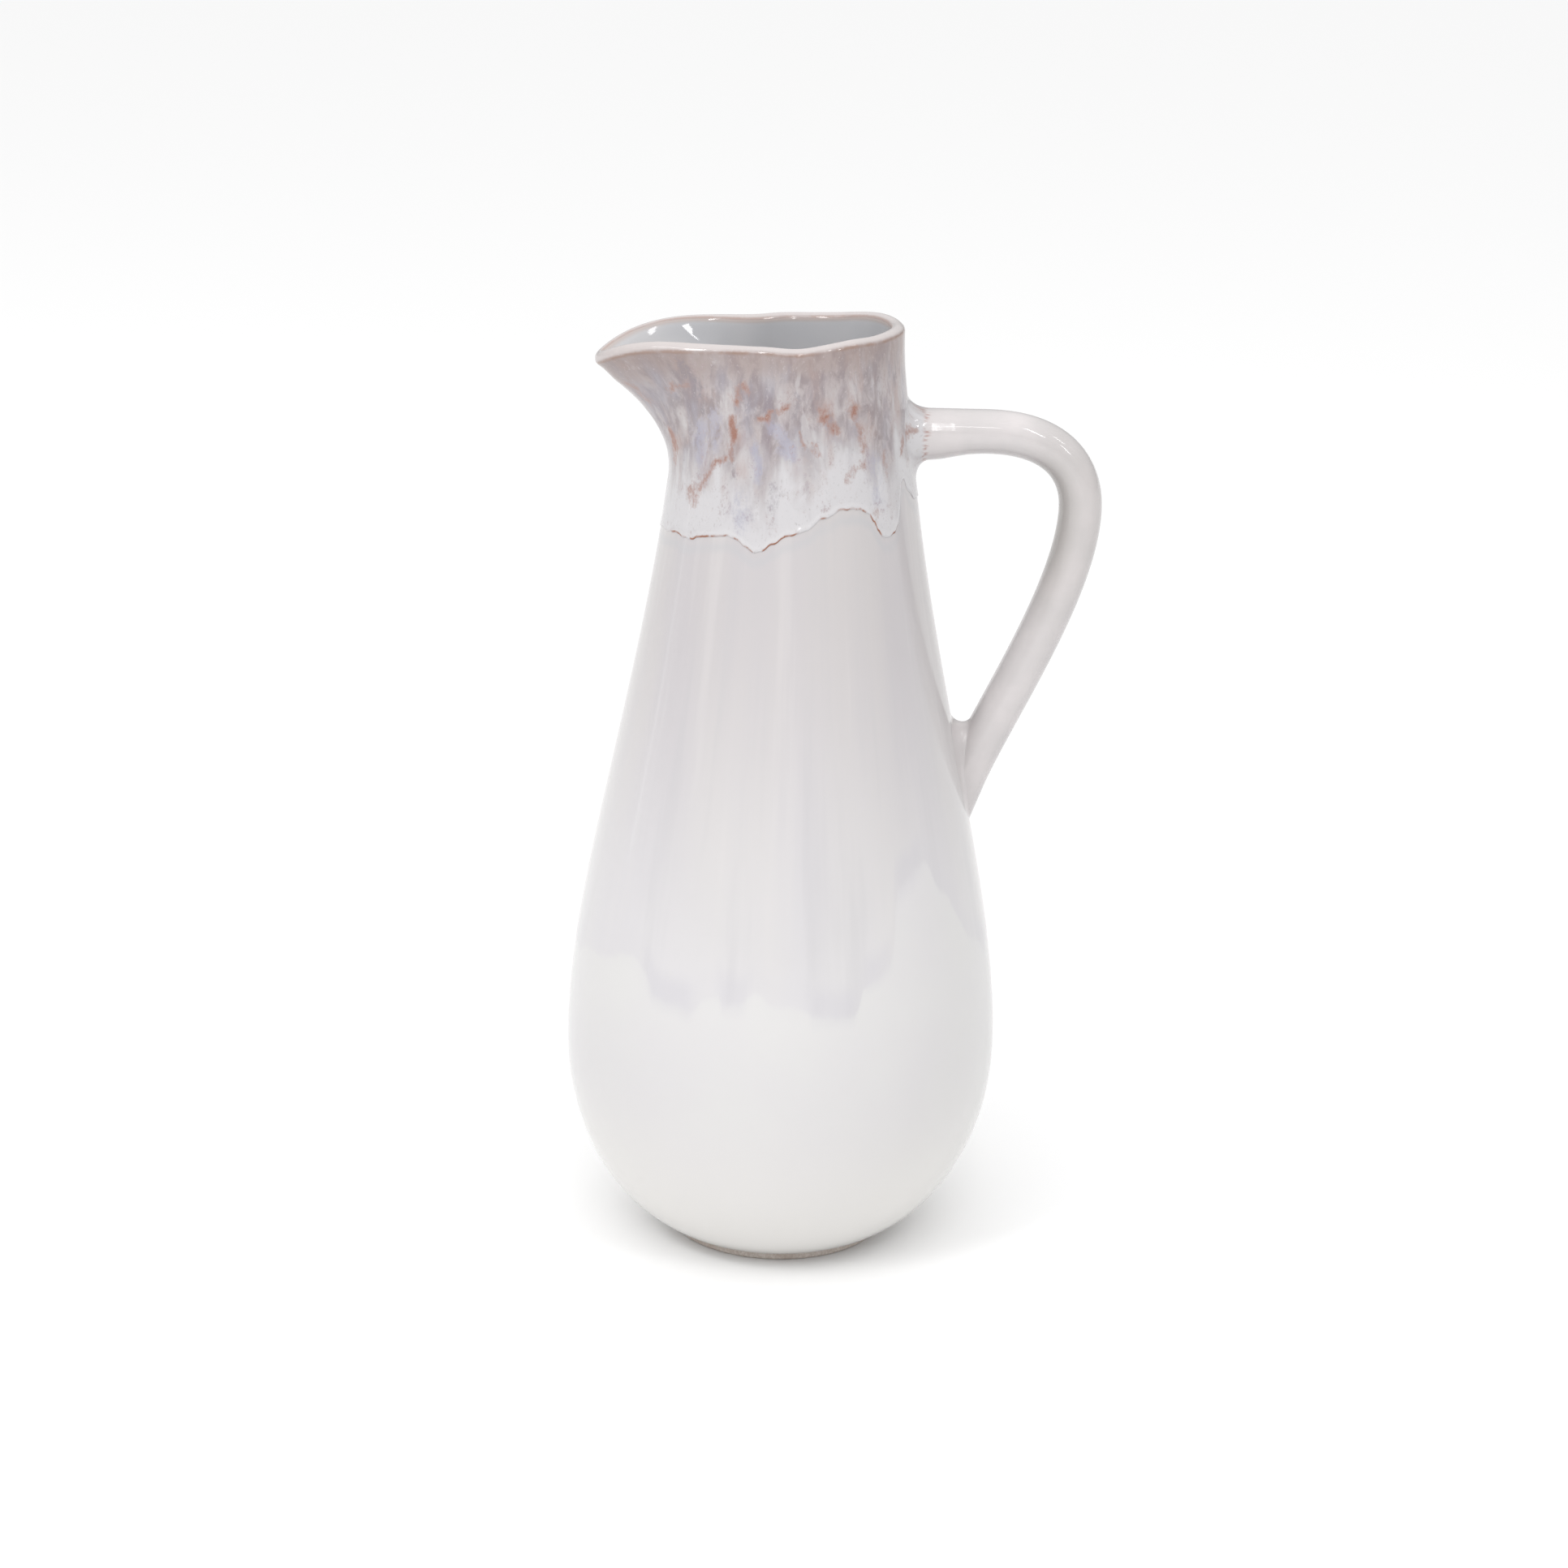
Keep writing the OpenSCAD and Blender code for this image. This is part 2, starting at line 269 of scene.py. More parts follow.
# How plainly the rust shows along the hem: direction, strength
HEM_RUST = [
    (12, 0.7), (30, 1.0), (44, 0.2), (60, 0.8), (75, 0.3), (90, 0.9), (104, 1.0), (112, 0.2),
    (128, 0.6), (140, 1.0), (160, 0.3), (172, 0.8), (188, 0.3), (203, 0.3), (210, 1.0),
    (216, 0.9), (219.5, 0.1), (222, 0.9), (226, 0.7), (230, 1.1), (240, 0.9), (243, 0.2),
    (246, 1.2), (252, 1.3), (254.5, 0.3), (257, 0.2), (259, 1.0), (270, 1.0), (274, 0.25),
    (281, 0.15), (284, 0.7), (287, 0.1), (292, 0.5), (296, 0.7), (304, 1.0), (306.5, 0.15),
    (309, 1.4), (312, 0.9), (314, 0.2), (318, 0.15), (321, 0.9), (323, 0.4), (326, 0.2),
    (330, 0.0), (345, 0.0), (358, 0.2),
]
HEM_RAGGED = 0.3
COAT_T = 0.2


def hem_h(angle):
    """Height of the neck coat's hem in a direction."""
    turn = np.radians(angle)
    ring = np.stack([np.cos(turn), np.sin(turn), turn * 0], -1) * NECK_R
    return lookup(angle, HEM) + HEM_RAGGED * uneven(ring, 1.6, 3.0) + 0.5 * uneven(ring, 4.5, 8.0)


def lip_way(angle):
    """Direction in which the lip's round rises: up, and leaning out with the spout's wall."""
    lean = wall_place(angle, TOP_H) - wall_place(angle, TOP_H - 1.5)
    lean = lean / np.linalg.norm(lean, axis=-1, keepdims=True)
    return lean


def coat_t(angle, h):
    """Thickness of the neck's coat, which swells where it has run."""
    level = wall_place(angle, h)
    runs = uneven(level * (1, 1, 0.16), 4.5, 5.0) + 0.5 * uneven(level * (1, 1, 0.3), 2.2, 9.0)
    return COAT_T + 0.07 * runs


def skin(angle, h, off):
    """A point that stands off the glazed outer wall, inwards when off is negative."""
    angle, h = np.broadcast_arrays(np.asarray(angle, float), np.asarray(h, float))
    level = wall_place(angle, h)
    drawn = 0.16 * uneven(level * (1, 1, 0.5), 34, 1.0) * smooth(h, FOOT_H, FOOT_H + 20)
    dipped = DIP_T * smooth(h - lookup(angle, DIP_EDGE), -1.5, 1.5)
    under_tip = smooth(h, TOP_H - 50, TOP_H - 18) * smooth(TOP_H - h, 0, 6)
    tucked = SKIN_IN - SPOUT_FULL * under_tip * pull(apart(angle, 180))
    return level + (np.asarray(off) + drawn + dipped - tucked)[..., None] * outward(angle, h)


# ---------------------------------------------------------------- ways of making


def start_clean():
    """Leaves edit mode and deselects everything, so that an operator acts on nothing old."""
    if bpy.context.object and bpy.context.object.mode != "OBJECT":
        bpy.ops.object.mode_set(mode="OBJECT")
    bpy.ops.object.select_all(action="DESELECT")


def thrown(name, outline, sides):
    """An outline of (radius, height) turned round the axis, as on a wheel. Each vertex keeps
    its place along the outline as its row."""
    start_clean()
    first = (outline[0][0] * MM, 0, outline[0][1] * MM)
    bpy.ops.mesh.primitive_plane_add(size=MM, location=first)
    piece = bpy.context.object
    piece.name = name
    bpy.ops.object.transform_apply(location=True)
    bpy.ops.object.mode_set(mode="EDIT")
    bpy.ops.mesh.merge(type="CENTER")
    for here, there in zip(outline, outline[1:]):
        step = ((there[0] - here[0]) * MM, 0, (there[1] - here[1]) * MM)
        bpy.ops.mesh.extrude_vertices_move(TRANSFORM_OT_translate={"value": step})
    clay = bmesh.from_edit_mesh(piece.data)
    row = clay.verts.layers.int.new("row")
    for i, vertex in enumerate(clay.verts):
        vertex[row] = i
    bpy.ops.mesh.select_all(action="SELECT")
    bpy.ops.mesh.spin(steps=sides, angle=2 * math.pi, center=(0, 0, 0), axis=(0, 0, 1))
    bpy.ops.mesh.select_all(action="SELECT")
    bpy.ops.mesh.remove_doubles(threshold=1e-6)
    bpy.ops.mesh.normals_make_consistent(inside=False)
    bpy.ops.object.mode_set(mode="OBJECT")
    return piece


def drawn_out(name, rings):
    """A tube drawn out ring by ring: a circle laid on the first ring, then extruded to each
    of the others in turn, and closed at both ends."""
    start_clean()
    bpy.ops.mesh.primitive_circle_add(vertices=len(rings[0]), radius=STRAP_W / 2 * MM)
    piece = bpy.context.object
    piece.name = name
    bpy.ops.object.mode_set(mode="EDIT")
    clay = bmesh.from_edit_mesh(piece.data)
    column = clay.verts.layers.int.new("column")
    row = clay.verts.layers.int.new("row")
    for i, vertex in enumerate(clay.verts):
        vertex[column] = i
        vertex.co = Vector(rings[0][i]) * MM
    bpy.ops.mesh.select_all(action="SELECT")
    for i, ring in enumerate(rings[1:], 1):
        bpy.ops.mesh.extrude_edges_move(TRANSFORM_OT_translate={"value": (0, 0, MM)})
        clay = bmesh.from_edit_mesh(piece.data)
        column = clay.verts.layers.int["column"]
        row = clay.verts.layers.int["row"]
        for vertex in clay.verts:
            if vertex.select:
                vertex[row] = i
                vertex.co = Vector(ring[vertex[column]]) * MM
    bpy.ops.mesh.edge_face_add()
    bpy.ops.mesh.select_all(action="DESELECT")
    bpy.ops.mesh.select_non_manifold()
    bpy.ops.mesh.edge_face_add()
    bpy.ops.mesh.select_all(action="SELECT")
    bpy.ops.mesh.normals_make_consistent(inside=False)
    bpy.ops.object.mode_set(mode="OBJECT")
    return piece


def places(piece):
    """The piece's vertices as rows of x, y, z in millimetres."""
    co = np.empty(len(piece.data.vertices) * 3)
    piece.data.vertices.foreach_get("co", co)
    return co.reshape(-1, 3) / MM


def set_places(piece, co):
    piece.data.vertices.foreach_set("co", (co * MM).ravel())
    piece.data.update()


def numbers(piece, name):
    """A whole number kept with each vertex."""
    kept = np.empty(len(piece.data.vertices), np.int32)
    piece.data.attributes[name].data.foreach_get("value", kept)
    return kept


def keep(piece, name, values):
    """Keeps a value with each vertex, for the material to read."""
    values = np.asarray(values, np.float32)
    if values.ndim == 1:
        piece.data.attributes.new(name, "FLOAT", "POINT").data.foreach_set("value", values)
    else:
        layer = piece.data.attributes.new(name, "FLOAT_VECTOR", "POINT")
        layer.data.foreach_set("vector", values.ravel())


def direction(co):
    """Direction of each place round the axis, in degrees from the handle."""
    return np.degrees(np.arctan2(co[:, 1], co[:, 0])) % 360


def hand_in(piece, glazes, slot, *nodes, sharp=50):
    """Gives a finished piece its materials and shading, hangs it under the root body, and hides the
    model's parts that it stands for.
    """
    for name in ("row", "column"):
        if name in piece.data.attributes:
            piece.data.attributes.remove(piece.data.attributes[name])
    for glaze in glazes:
        piece.data.materials.append(glaze)
    start_clean()
    piece.select_set(True)
    bpy.context.view_layer.objects.active = piece
    bpy.ops.object.shade_smooth_by_angle(angle=math.radians(sharp))
    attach(piece, "root")
    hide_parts(*nodes)


# ---------------------------------------------------------------- ways of painting

# Fired glaze is a glass, and the white one is a little softer
GLAZE_IOR = 1.52
WHITE_IOR = 1.46
# Settings of the nodes that are used most
SOFTLY = {"interpolation_type": "SMOOTHSTEP"}
COLOURS = {"out": 2, "data_type": "RGBA"}
SCALE_AND_ADD = {"operation": "MULTIPLY_ADD"}


def colour(code):
    """A colour written as sRGB hex, turned to the linear colour that the shader takes."""
    parts = [int(code[i : i + 2], 16) / 255 for i in (0, 2, 4)]
    return [c / 12.92 if c <= 0.04045 else ((c + 0.055) / 1.055) ** 2.4 for c in parts] + [1]


def new_finish(name):
    """An empty material with its shader, and the tree to build its pattern in."""
    finish = bpy.data.materials.new(name)
    finish.use_nodes = True
    tree = finish.node_tree
    shader = tree.nodes["Principled BSDF"]
    return finish, tree, shader


def add(tree, kind, inputs, out=0, **settings):
    """Adds a node with its settings, sets or links its inputs, and returns one output."""
    made = tree.nodes.new("ShaderNode" + kind)
    for name, value in settings.items():
        setattr(made, name, value)
    for socket, value in inputs.items():
        if isinstance(value, bpy.types.NodeSocket):
            tree.links.new(value, made.inputs[socket])
        else:
            made.inputs[socket].default_value = value
    return made.outputs[out]


def per(mm):
    """Scale of a noise texture whose lumps are this many millimetres across."""
    return 1 / (mm * MM)


def gloss(tree, shader, tone, rough, ripple_mm, ripple_deep_mm, ior=GLAZE_IOR):
    """Finishes a glaze: its colour, a glassy surface, and the slow ripple of melted glass."""
    where = add(tree, "TexCoord", {}, out="Object")
    wave = add(tree, "TexNoise", {"Vector": where, "Scale": per(ripple_mm), "Detail": 1.0})
    bump = add(tree, "Bump", {"Height": wave, "Strength": 0.2, "Distance": ripple_deep_mm * MM})
    tree.links.new(tone, shader.inputs["Base Color"])
    tree.links.new(bump, shader.inputs["Normal"])
    shader.inputs["Roughness"].default_value = rough
    shader.inputs["IOR"].default_value = ior


def run_down(tree, lump_mm, squash, shift, **settings):
    """A noise drawn out down the wall, so that what it draws looks run in the firing."""
    flow = add(tree, "Attribute", {}, out="Vector", attribute_name="flow")
    drawn = {"Vector": flow, "Scale": (1, 1, squash), "Location": (shift, shift, shift)}
    inputs = {"Vector": add(tree, "Mapping", drawn), "Scale": per(lump_mm)}
    inputs.update({key.title(): value for key, value in settings.items()})
    return add(tree, "TexNoise", inputs)


def laid_over(tree, ground, over, value, start, end, most=1.0):
    """Lays one colour over another, more and more as the value goes from start to end."""
    share = add(tree, "MapRange", {0: value, 1: start, 2: end, 4: most}, **SOFTLY)
    return add(tree, "Mix", {0: share, 6: ground, 7: over}, **COLOURS)


def close_to(tree, value, middle, reach, full=0.0):
    """A share that is 1 where the value is near the middle and falls to 0 at its reach."""
    off = add(tree, "Math", {0: value, 1: middle}, operation="SUBTRACT")
    off = add(tree, "Math", {0: off}, operation="ABSOLUTE")
    return add(tree, "MapRange", {0: off, 1: reach, 2: full}, **SOFTLY)


def strayed(tree, value, by, reach):
    """A value that a noise pushes up to this far to either side."""
    push = add(tree, "Math", {0: by, 1: 2 * reach, 2: -reach}, **SCALE_AND_ADD)
    return add(tree, "Math", {0: push, 1: 1.0, 2: value}, **SCALE_AND_ADD)


def patchy(tree, share, by, start, end, low=0.0, high=1.0):
    """A share kept low where the other value is below start, and high where it is past end."""
    inputs = {0: by, 1: start, 2: end, 3: low, 4: high}
    patches = add(tree, "MapRange", inputs, **SOFTLY)
    return add(tree, "Math", {0: share, 1: patches}, operation="MULTIPLY")


def white_tone(tree):
    """The white glaze's colour, with light and shade painted in. Below the dip's ragged edge lies one
    warm milky coat, painted lighter towards the foot for light bounced up off the floor, and above it
    two, greyer towards the neck, with faint runs and a painted shadow under the hem."""
    runs = run_down(tree, 7, 0.045, 0.0, detail=3.0, roughness=0.6)
    wide = run_down(tree, 24, 0.12, 0.3, detail=2.0)
    cloud = run_down(tree, 40, 0.5, 0.6, detail=3.0)
    ragged = run_down(tree, 6, 0.5, 0.9, detail=3.0)
    dip = add(tree, "Attribute", {}, out="Fac", attribute_name="dip")
    pool = add(tree, "Attribute", {}, out="Fac", attribute_name="pool")
    hem = add(tree, "Attribute", {}, out="Fac", attribute_name="hem")
    where = add(tree, "TexCoord", {}, out="Object")
    height = add(tree, "SeparateXYZ", {0: where}, out="Z")

    one_coat = laid_over(tree, colour("c7c6c5"), colour("c5c3c4"), cloud, 0.35, 0.65)
    # Painted light: the single coat lighter towards the foot, for light bounced up off the floor
    one_coat = laid_over(tree, one_coat, colour("d7d5d2"), height, 0.075, 0.008)
    low_two = laid_over(tree, colour("c5c3c3"), colour("c3c1c3"), wide, 0.35, 0.65)
    high_two = laid_over(tree, colour("b7b3b3"), colour("b4b0b2"), wide, 0.35, 0.65)
    two_coats = laid_over(tree, low_two, high_two, height, 0.10, 0.23)
    two_coats = laid_over(tree, two_coats, colour("abaaad"), runs, 0.5, 0.72, 0.22)
    two_coats = laid_over(tree, two_coats, colour("c8c5c4"), runs, 0.48, 0.3, 0.25)

    edge = strayed(tree, dip, ragged, 0.003)
    tone = laid_over(tree, one_coat, two_coats, edge, -0.001, 0.002)
    near_edge = close_to(tree, edge, 0.004, 0.009, 0.001)
    pooled = add(tree, "Math", {0: near_edge, 1: pool}, operation="MULTIPLY")
    tone = add(tree, "Mix", {0: pooled, 6: tone, 7: colour("b8b6bb")}, **COLOURS)

    under_hem = close_to(tree, hem, -0.0032, 0.0026)
    under_hem = patchy(tree, under_hem, cloud, 0.3, 0.6, 0.15, 0.5)
    return add(tree, "Mix", {0: under_hem, 6: tone, 7: colour("aeaeb1")}, **COLOURS)


def white_glaze():
    """Opaque white stoneware glaze, dipped twice and fired glossy: milky and even, with faint
    runs down the wall where the second dip lies and a warmer single coat below it."""
    finish, tree, shader = new_finish("white_stoneware_glaze")
    gloss(tree, shader, white_tone(tree), 0.1, 16, 0.2, WHITE_IOR)
    return finish


def strap_tone(tree):
    """White glaze on the strap: both coats, a little greyer in slow clouds, and with painted shade
    on its underside inside the bend."""
    where = add(tree, "TexCoord", {}, out="Object")
    cloud = add(tree, "TexNoise", {"Vector": where, "Scale": per(16), "Detail": 3.0})
    bend_shade = add(tree, "Attribute", {}, out="Fac", attribute_name="bend_shade")
    tone = laid_over(tree, colour("c2bdbd"), colour("bab6b6"), cloud, 0.35, 0.65)
    # Painted shade: the strap darker on its underside inside the bend
    return add(tree, "Mix", {0: bend_shade, 6: tone, 7: colour("9c9895")}, **COLOURS)


def strap_glaze():
    """The same white glaze where it covers the pulled strap."""
    finish, tree, shader = new_finish("white_glaze_on_strap")
    gloss(tree, shader, strap_tone(tree), 0.03, 14, 0.12)
    return finish


def mark_on(tree, ground, name, code, start, end, breakup, most=1.0):
    """Lays a colour where a kept mark is strong enough, broken up by a noise."""
    mark = add(tree, "Attribute", {}, out="Fac", attribute_name=name)
    lifted = add(tree, "Math", {0: breakup, 1: 1.0, 2: mark}, **SCALE_AND_ADD)
    return laid_over(tree, ground, colour(code), lifted, start, end, most)


def collar_tone(tree):
    """Colours of the neck's second coat, which moved in the firing: brownish under the lip,
    mottled pinkish grey with lavender runs, paler towards the hem, and rust where it broke."""
    mottle = run_down(tree, 5, 0.6, 0.4, detail=5.0, roughness=0.58, distortion=0.5)
    runs = run_down(tree, 6, 0.27, 0.1, detail=3.0, roughness=0.55)
    pink = run_down(tree, 10, 0.45, 0.7, detail=4.0, roughness=0.6)
    blue = run_down(tree, 9, 0.4, 0.9, detail=3.0, roughness=0.55)
    grain = run_down(tree, 1.0, 0.7, 0.2, detail=4.0, roughness=0.7)
    drips = run_down(tree, 6.5, 0.42, 1.3, detail=4.0, roughness=0.55, distortion=0.5)
    hem = add(tree, "Attribute", {}, out="Fac", attribute_name="hem")
    crest = add(tree, "Attribute", {}, out="Fac", attribute_name="crest")
    hem_rust = add(tree, "Attribute", {}, out="Fac", attribute_name="hemrust")

    ground = laid_over(tree, colour("887e80"), colour("a9a2a2"), mottle, 0.36, 0.64)
    ground = laid_over(tree, ground, colour("a08b85"), pink, 0.48, 0.68, 0.6)
    ground = laid_over(tree, ground, colour("9696a1"), blue, 0.5, 0.7, 0.4)
    ground = laid_over(tree, ground, colour("b3afb0"), runs, 0.5, 0.75, 0.5)
    ground = laid_over(tree, ground, colour("b4b0b1"), drips, 0.54, 0.66, 0.6)
    ground = laid_over(tree, ground, colour("81777d"), drips, 0.45, 0.34, 0.5)

    # Browner towards the lip
    lifted = strayed(tree, crest, mottle, 0.01)
    ground = laid_over(tree, ground, colour("8b7b76"), lifted, -0.016, -0.004, 0.65)

    # Milky towards the hem, where the coat is thin
    lower = strayed(tree, hem, runs, 0.02)
    lower = strayed(tree, lower, mottle, 0.0125)
    ground = laid_over(tree, ground, colour("bbb9bb"), lower, 0.030, 0.007)

    # Marks where the glaze broke or pooled
    broken = add(tree, "Math", {0: mottle, 1: 1.6, 2: -1.8}, **SCALE_AND_ADD)
    broken = add(tree, "Math", {0: grain, 1: 2.0, 2: broken}, **SCALE_AND_ADD)
    ground = mark_on(tree, ground, "lavender", "9697a8", 0.1, 1.1, broken, 0.6)
    ground = mark_on(tree, ground, "slate", "767077", 0.2, 1.1, broken, 0.65)
    ground = mark_on(tree, ground, "rust", "967c75", 0.1, 0.9, broken, 0.8)
    ground = mark_on(tree, ground, "rust", "8b6355", 0.65, 1.25, broken, 0.85)

    # Fine salt-and-pepper of crystals
    ground = laid_over(tree, ground, colour("bebab8"), grain, 0.56, 0.72, 0.35)
    ground = laid_over(tree, ground, colour("7d7473"), grain, 0.42, 0.28, 0.3)

    # Milky bead along the hem, and a thin rusty line on its edge, broken off here and there
    bead = close_to(tree, hem, 0.0015, 0.0012)
    bead = add(tree, "Math", {0: bead, 1: 0.3}, operation="MULTIPLY")
    ground = add(tree, "Mix", {0: bead, 6: ground, 7: colour("c2c0c1")}, **COLOURS)
    rough_hem = add(tree, "Math", {0: grain, 1: 0.0006, 2: hem}, **SCALE_AND_ADD)
    line = close_to(tree, rough_hem, 0.0006, 0.0006, 0.0001)
    line = patchy(tree, line, hem_rust, 0.2, 0.85)
    line = patchy(tree, line, mottle, 0.38, 0.50, 0.25)
    ground = add(tree, "Mix", {0: line, 6: ground, 7: colour("8c5f4a")}, **COLOURS)

    # The lip's round is paler, and the glaze breaks to a brownish line on both its edges
    top = close_to(tree, crest, 0.0, 0.0036, 0.0015)
    top = add(tree, "Math", {0: top, 1: 0.8}, operation="MULTIPLY")
    ground = add(tree, "Mix", {0: top, 6: ground, 7: colour("beb8b7")}, **COLOURS)
    rough_crest = add(tree, "Math", {0: grain, 1: 0.0008, 2: crest}, **SCALE_AND_ADD)
    line = close_to(tree, rough_crest, -0.0026, 0.0009)
    line = patchy(tree, line, pink, 0.38, 0.6, 0.1, 0.75)
    ground = add(tree, "Mix", {0: line, 6: ground, 7: colour("897063")}, **COLOURS)
    rough_crest = add(tree, "Math", {0: grain, 1: 0.0006, 2: crest}, **SCALE_AND_ADD)
    line = close_to(tree, rough_crest, 0.0026, 0.0008)
    line = patchy(tree, line, mottle, 0.35, 0.55, 0.25, 0.75)
    return add(tree, "Mix", {0: line, 6: ground, 7: colour("9d877f")}, **COLOURS)


def collar_glaze():
    """Second, reactive coat of stoneware glaze over the white: glossy, pinkish grey, streaked
    by running in the kiln, rusty where it lies thinly. It laps a little way onto the strap."""
    finish, tree, shader = new_finish("reactive_collar_glaze")
    strap = add(tree, "Attribute", {}, out="Fac", attribute_name="strap")
    lap = strayed(tree, strap, run_down(tree, 2.5, 0.8, 0.5, detail=3.0), 0.25)
    tone = laid_over(tree, collar_tone(tree), strap_tone(tree), lap, 0.3, 0.7)
    grain = run_down(tree, 1.2, 1.0, 0.8, detail=3.0)
    stain = patchy(tree, close_to(tree, lap, 0.62, 0.3), grain, 0.45, 0.6, 0.0, 0.7)
    tone = add(tree, "Mix", {0: stain, 6: tone, 7: colour("9b7a72")}, **COLOURS)
    gloss(tree, shader, tone, 0.09, 5, 0.3)
    return finish


def liner_glaze():
    """Liner glaze poured inside the pitcher: smooth, glossy, a cool pale grey, with painted shade
    deeper down.
    """
    finish, tree, shader = new_finish("grey_liner_glaze")
    where = add(tree, "TexCoord", {}, out="Object")
    cloud = add(tree, "TexNoise", {"Vector": where, "Scale": per(26), "Detail": 2.0})
    crest = add(tree, "Attribute", {}, out="Fac", attribute_name="crest")
    tone = laid_over(tree, colour("b6b5b7"), colour("b0b0b3"), cloud, 0.35, 0.65)
    # Painted shade: darker from about 10 to 50 mm down inside, where less light reaches
    tone = laid_over(tree, tone, colour("9f9e9f"), crest, 0.010, 0.050)
    tone = laid_over(tree, tone, colour("ada29e"), crest, 0.0045, 0.0030)
    gloss(tree, shader, tone, 0.05, 14, 0.2)
    return finish


def bare_clay():
    """Unglazed fired stoneware, wiped clean of glaze: dry, taupe grey, with fine grog."""
    finish, tree, shader = new_finish("bare_stoneware")
    where = add(tree, "TexCoord", {}, out="Object")
    grog = add(tree, "TexNoise", {"Vector": where, "Scale": per(0.8), "Detail": 5.0})
    stain = add(tree, "TexNoise", {"Vector": where, "Scale": per(9), "Detail": 3.0})
    tone = laid_over(tree, colour("c2b6ad"), colour("d4cbc4"), grog, 0.35, 0.65)
    tone = laid_over(tree, tone, colour("b3a498"), stain, 0.45, 0.7, 0.5)
    bump = add(tree, "Bump", {"Height": grog, "Strength": 0.6, "Distance": 0.25 * MM})
    tree.links.new(tone, shader.inputs["Base Color"])
    tree.links.new(bump, shader.inputs["Normal"])
    shader.inputs["Roughness"].default_value = 0.85
    return finish


# ---------------------------------------------------------------- marks on the neck

# Marks in the neck's coat: strength, width in millimetres, and points of (direction, height)
RUST = [
    (0.9, 1.0, [(240, 280), (241, 283.5), (243.5, 285), (246, 283.5)]),
    (1.2, 0.9, [(239.5, 273.5), (240.5, 270)]),
    (0.7, 0.7, [(240.5, 270), (241, 262)]),
    (0.95, 0.7, [(253, 275.5), (258, 275), (259, 278), (264, 279), (266, 280)]),
    (1.4, 1.2, [(285.5, 276.5), (287, 276)]),
    (0.85, 0.9, [(283, 279), (286, 279), (283.5, 275), (289, 272.5), (292.5, 273.5)]),
    (1.15, 1.1, [(301.5, 279), (302, 277.5)]),
    (0.6, 0.9, [(302, 277), (305, 270), (306, 266)]),
    (0.85, 0.6, [(273, 272), (275, 269), (277, 268)]),
    (0.8, 0.8, [(280, 270), (282, 265)]),
    (1.25, 1.4, [(200, 266.5), (201, 263.5)]),
    (0.7, 1.3, [(199, 262), (200, 258)]),
    (0.95, 0.6, [(238, 263.5), (233, 261), (227, 257)]),
    (0.75, 1.0, [(227, 257), (224, 254), (222.5, 250.5), (220, 246)]),
    (0.7, 1.0, [(217, 252), (219, 248)]),
    (0.6, 1.2, [(189, 280), (191, 276)]),
    (0.75, 1.0, [(208.5, 281.5), (212, 283.5), (216, 283)]),
    (0.75, 0.8, [(336, 267), (334, 262)]),
    (0.55, 1.0, [(318, 264), (318, 257)]),
    (0.55, 1.1, [(296, 258), (305, 262)]),
    (0.6, 0.7, [(311, 247), (309, 243)]),
    (0.5, 1.5, [(191, 290), (187, 290.5)]),
]
SLATE = [
    (0.8, 1.2, [(216, 291.5), (216, 287.5), (219, 283), (223, 276.5)]),
    (0.9, 0.8, [(222, 285), (223.5, 280.5)]),
    (0.6, 1.2, [(205, 286), (206, 280)]),
    (0.7, 0.8, [(241, 268), (241.5, 258)]),
    (0.6, 1.5, [(262, 256), (262, 249)]),
    (0.65, 1.2, [(271, 283), (272, 276)]),
]
LAVENDER = [
    (0.9, 1.4, [(259, 273), (264, 271), (270, 265)]),
    (0.9, 1.0, [(252.5, 268), (253.5, 257)]),
    (0.8, 2.2, [(221.5, 272), (221.5, 262)]),
    (0.8, 1.2, [(263, 267), (269, 266)]),
    (0.7, 2.0, [(229, 276), (230, 266)]),
    (0.6, 2.4, [(246, 252), (247, 244)]),
    (0.6, 2.5, [(312, 262), (313, 252)]),
]


def scattered(count, seed, strength, width):
    """More marks of the same kind round the side that the lists above leave bare."""
    dice = random.Random(seed)
    marks = []
    for _ in range(count):
        turn = dice.uniform(-18, 172)
        high = dice.uniform(252, 286)
        lean = dice.uniform(-4, 4)
        long = dice.uniform(2, 9)
        bent = dice.uniform(-2, 2)
        points = [(turn, high), (turn + lean / 2 + bent, high - long / 2), (turn + lean, high - long)]
        marks.append((dice.uniform(*strength), dice.uniform(*width), points))
    return marks


RUST += scattered(22, 11, (0.55, 1.2), (0.6, 1.2))
SLATE += scattered(8, 12, (0.5, 0.9), (0.8, 1.4))
LAVENDER += scattered(9, 13, (0.6, 0.95), (1.0, 2.4))


def mark_field(co, marks):
    """How strongly the nearest mark shows at each place."""
    at = np.stack([np.radians(direction(co)) * NECK_R, co[:, 2]], -1)
    for size, far, seed in ((5.0, 1.6, 21.0), (1.6, 0.7, 23.0)):
        sway = [uneven(co, size, seed), uneven(co, size, seed + 1)]
        at = at + far * np.stack(sway, -1)
    field = np.zeros(len(co))
    for strength, width, points in marks:
        for (turn_a, z_a), (turn_b, z_b) in zip(points, points[1:]):
            a = np.array([math.radians(turn_a) * NECK_R, z_a])
            b = np.array([math.radians(turn_b) * NECK_R, z_b])
            for lap in (0.0, -1.0, 1.0):
                off = at - a + (lap * 2 * math.pi * NECK_R, 0)
                along = np.clip(off @ (b - a) / ((b - a) @ (b - a)), 0, 1)
                gap = np.linalg.norm(off - along[:, None] * (b - a), axis=1)
                field = np.maximum(field, strength * np.exp(-((gap / (1.5 * width)) ** 2)))
    return field


